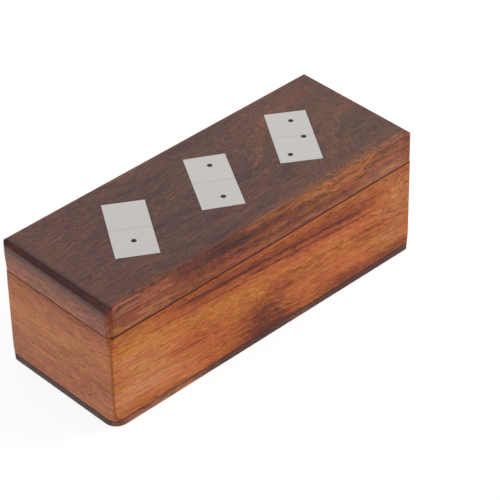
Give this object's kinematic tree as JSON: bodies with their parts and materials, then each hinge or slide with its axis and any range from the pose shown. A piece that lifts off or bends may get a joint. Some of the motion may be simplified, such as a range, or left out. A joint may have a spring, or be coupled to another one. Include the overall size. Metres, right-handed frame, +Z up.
{
  "type": "domino storage box",
  "caption": "Oblong wooden box with mitred walls and a hinged lid, its top inlaid with tilted metal plates marked as dominoes.",
  "frame": {"origin": "centre of the underside of the bottom board, on the surface that the box stands on", "axes": "+X along the box towards its right end, +Y from the front to the hinged back, +Z up"},
  "size_m": [0.19, 0.0723, 0.0695],
  "materials": {
    "base_wood": "lacquered, satin gloss, orange-brown with darker grain along the box",
    "lid_wood": "lacquered, satin gloss, dark reddish brown, lighter along the top's front edge",
    "bottom_wood": "lacquered, dark brown",
    "plate_metal": "flat, satin, lightly scratched",
    "pip_filler": "black filler, flush and matt",
    "hinge_brass": "plain brass, slightly dull"
  },
  "bodies": {
    "base": {"base_bottom_panel": "bottom_wood", "base_front_wall": "base_wood", "base_back_wall": "base_wood", "base_left_wall": "base_wood", "base_right_wall": "base_wood", "hinge_left_base_leaf": "hinge_brass", "hinge_right_base_leaf": "hinge_brass", "hinge_left_pin": "hinge_brass", "hinge_right_pin": "hinge_brass", "hinge_screws_base": "hinge_brass"},
    "lid": {"lid_top_panel": "lid_wood", "lid_front_rail": "lid_wood", "lid_back_rail": "lid_wood", "lid_left_rail": "lid_wood", "lid_right_rail": "lid_wood", "inlay_left": "plate_metal", "inlay_middle": "plate_metal", "inlay_right": "plate_metal", "pips_left": "pip_filler", "pips_middle": "pip_filler", "pips_right": "pip_filler", "hinge_left_lid_leaf": "hinge_brass", "hinge_right_lid_leaf": "hinge_brass", "hinge_screws_lid": "hinge_brass"}
  },
  "joints": [
    {"name": "lid_hinge", "type": "hinge", "parent": "base", "child": "lid", "pos_m": [0, 0.03475, 0.05285], "axis": [-1, 0, 0], "range_deg": [0, 105]}
  ]
}
